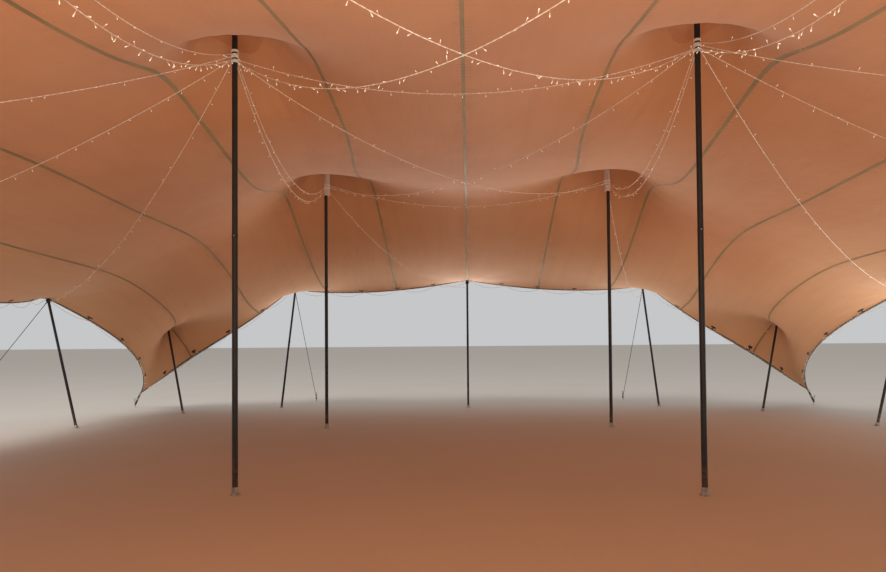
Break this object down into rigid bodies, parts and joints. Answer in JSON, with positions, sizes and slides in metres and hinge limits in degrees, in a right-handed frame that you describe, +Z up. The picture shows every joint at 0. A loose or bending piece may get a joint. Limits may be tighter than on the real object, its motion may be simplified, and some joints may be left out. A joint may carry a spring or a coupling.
{
  "type": "stretch tent",
  "caption": "Large open-sided stretch tent: one elastic canopy in seamed strips over king poles, with leaning edge poles, corner poles, guys to ground stakes, and light strings inside.",
  "frame": {"origin": "the middle of the footprint, on the ground", "axes": "+X to the right as seen from the front end, +Y along the tent from the front end to the rear end, +Z up"},
  "size_m": [21.6776, 24.9944, 5.287],
  "materials": {
    "canopy": "matt elastic coated fabric, terracotta",
    "pole": "satin black enamel on steel tube",
    "rope": "braided polyester rope, black",
    "strap": "woven polyester webbing, black",
    "lights": "pale twisted lead with small lamps"
  },
  "bodies": {
    "root": {"canopy_strip_1": "canopy", "canopy_strip_10": "canopy", "canopy_strip_2": "canopy", "canopy_strip_3": "canopy", "canopy_strip_4": "canopy", "canopy_strip_5": "canopy", "canopy_strip_6": "canopy", "canopy_strip_7": "canopy", "canopy_strip_8": "canopy", "canopy_strip_9": "canopy", "corner_pole_front_left": "pole", "corner_pole_front_right": "pole", "corner_pole_rear_left": "pole", "corner_pole_rear_right": "pole", "corner_strap_front_left": "strap", "corner_strap_front_right": "strap", "corner_strap_rear_left": "strap", "corner_strap_rear_right": "strap", "end_pole_front_left": "pole", "end_pole_front_middle": "pole", "end_pole_front_right": "pole", "end_pole_rear_left": "pole", "end_pole_rear_middle": "pole", "end_pole_rear_right": "pole", "guy_front_left": "rope", "guy_front_middle": "rope", "guy_front_right": "rope", "guy_left_front": "rope", "guy_left_middle": "rope", "guy_left_rear": "rope", "guy_rear_left": "rope", "guy_rear_middle": "rope", "guy_rear_right": "rope", "guy_right_front": "rope", "guy_right_middle": "rope", "guy_right_rear": "rope", "king_pole_front_left": "pole", "king_pole_front_right": "pole", "king_pole_middle_left": "pole", "king_pole_middle_right": "pole", "king_pole_rear_left": "pole", "king_pole_rear_right": "pole", "light_string_cross_front_left": "lights", "light_string_cross_front_right": "lights", "light_string_cross_rear_left": "lights", "light_string_cross_rear_right": "lights", "light_string_front_left": "lights", "light_string_front_right": "lights", "light_string_left": "lights", "light_string_middle": "lights", "light_string_rear": "lights", "light_string_rear_left": "lights", "light_string_rear_right": "lights", "light_string_right": "lights", "side_pole_left_front": "pole", "side_pole_left_middle": "pole", "side_pole_left_rear": "pole", "side_pole_right_front": "pole", "side_pole_right_middle": "pole", "side_pole_right_rear": "pole"}
  },
  "joints": []
}
